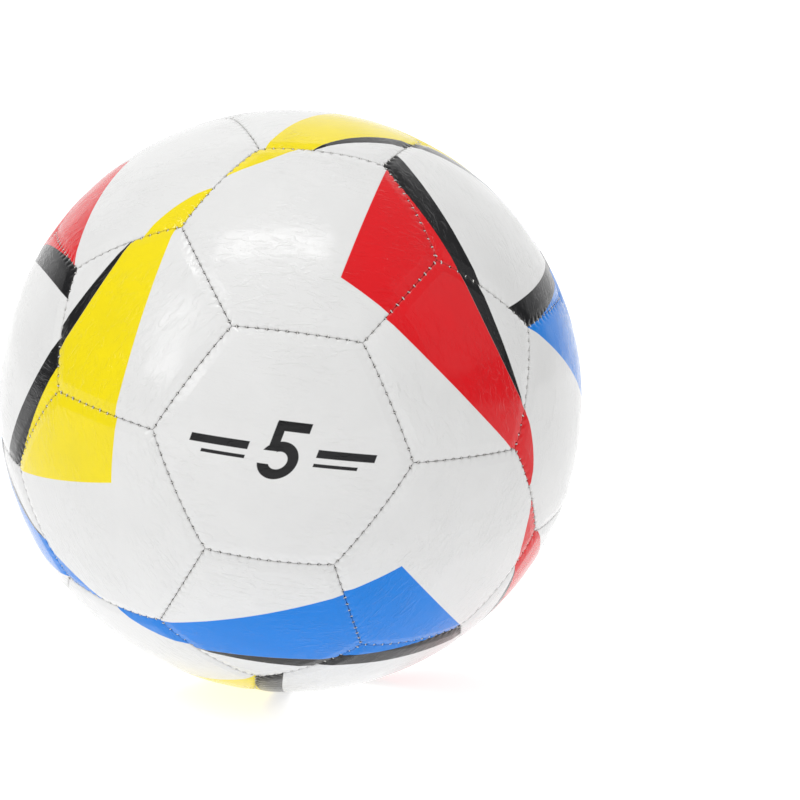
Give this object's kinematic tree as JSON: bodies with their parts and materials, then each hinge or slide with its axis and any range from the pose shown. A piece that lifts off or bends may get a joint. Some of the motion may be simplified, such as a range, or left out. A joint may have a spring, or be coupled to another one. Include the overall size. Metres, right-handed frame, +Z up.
{
  "type": "soccer ball",
  "caption": "Size 5 hand-stitched football of hexagon and pentagon panels over foam, cloth and a rubber bladder with a needle valve.",
  "frame": {"origin": "centre of the ball, which is the centre of its bounding box", "axes": "+Y out through the valve, along the needle; -Y out through the middle of the front panel; +Z up"},
  "size_m": [0.22, 0.2199, 0.22],
  "materials": {
    "panel_skin": "gloss",
    "foam": "matte",
    "lining_cloth": "matte",
    "thread": "satin",
    "bladder_rubber": "matte",
    "valve_rubber": "matte",
    "valve_core_rubber": "satin"
  },
  "bodies": {
    "root": {"bladder": "bladder_rubber", "blue_hexagon_panel_1": "panel_skin", "blue_hexagon_panel_2": "panel_skin", "blue_hexagon_panel_3": "panel_skin", "blue_hexagon_panel_4": "panel_skin", "blue_pentagon_panel_1": "panel_skin", "blue_pentagon_panel_2": "panel_skin", "blue_pentagon_panel_3": "panel_skin", "blue_pentagon_panel_4": "panel_skin", "hexagon_cloth_linings": "lining_cloth", "hexagon_foam_backings": "foam", "pentagon_cloth_linings": "lining_cloth", "pentagon_foam_backings": "foam", "plain_hexagon_panel_1": "panel_skin", "plain_hexagon_panel_2": "panel_skin", "plain_hexagon_panel_3": "panel_skin", "plain_hexagon_panel_4": "panel_skin", "red_hexagon_panel_1": "panel_skin", "red_hexagon_panel_2": "panel_skin", "red_hexagon_panel_3": "panel_skin", "red_hexagon_panel_4": "panel_skin", "red_pentagon_panel_1": "panel_skin", "red_pentagon_panel_2": "panel_skin", "red_pentagon_panel_3": "panel_skin", "red_pentagon_panel_4": "panel_skin", "seam_thread": "thread", "striped_hexagon_panel_1": "panel_skin", "striped_hexagon_panel_2": "panel_skin", "striped_hexagon_panel_3": "panel_skin", "valve_core": "valve_core_rubber", "valve_hexagon_panel": "panel_skin", "valve_housing": "valve_rubber", "valve_patch": "bladder_rubber", "yellow_hexagon_panel_1": "panel_skin", "yellow_hexagon_panel_2": "panel_skin", "yellow_hexagon_panel_3": "panel_skin", "yellow_hexagon_panel_4": "panel_skin", "yellow_pentagon_panel_1": "panel_skin", "yellow_pentagon_panel_2": "panel_skin", "yellow_pentagon_panel_3": "panel_skin", "yellow_pentagon_panel_4": "panel_skin"}
  },
  "joints": []
}
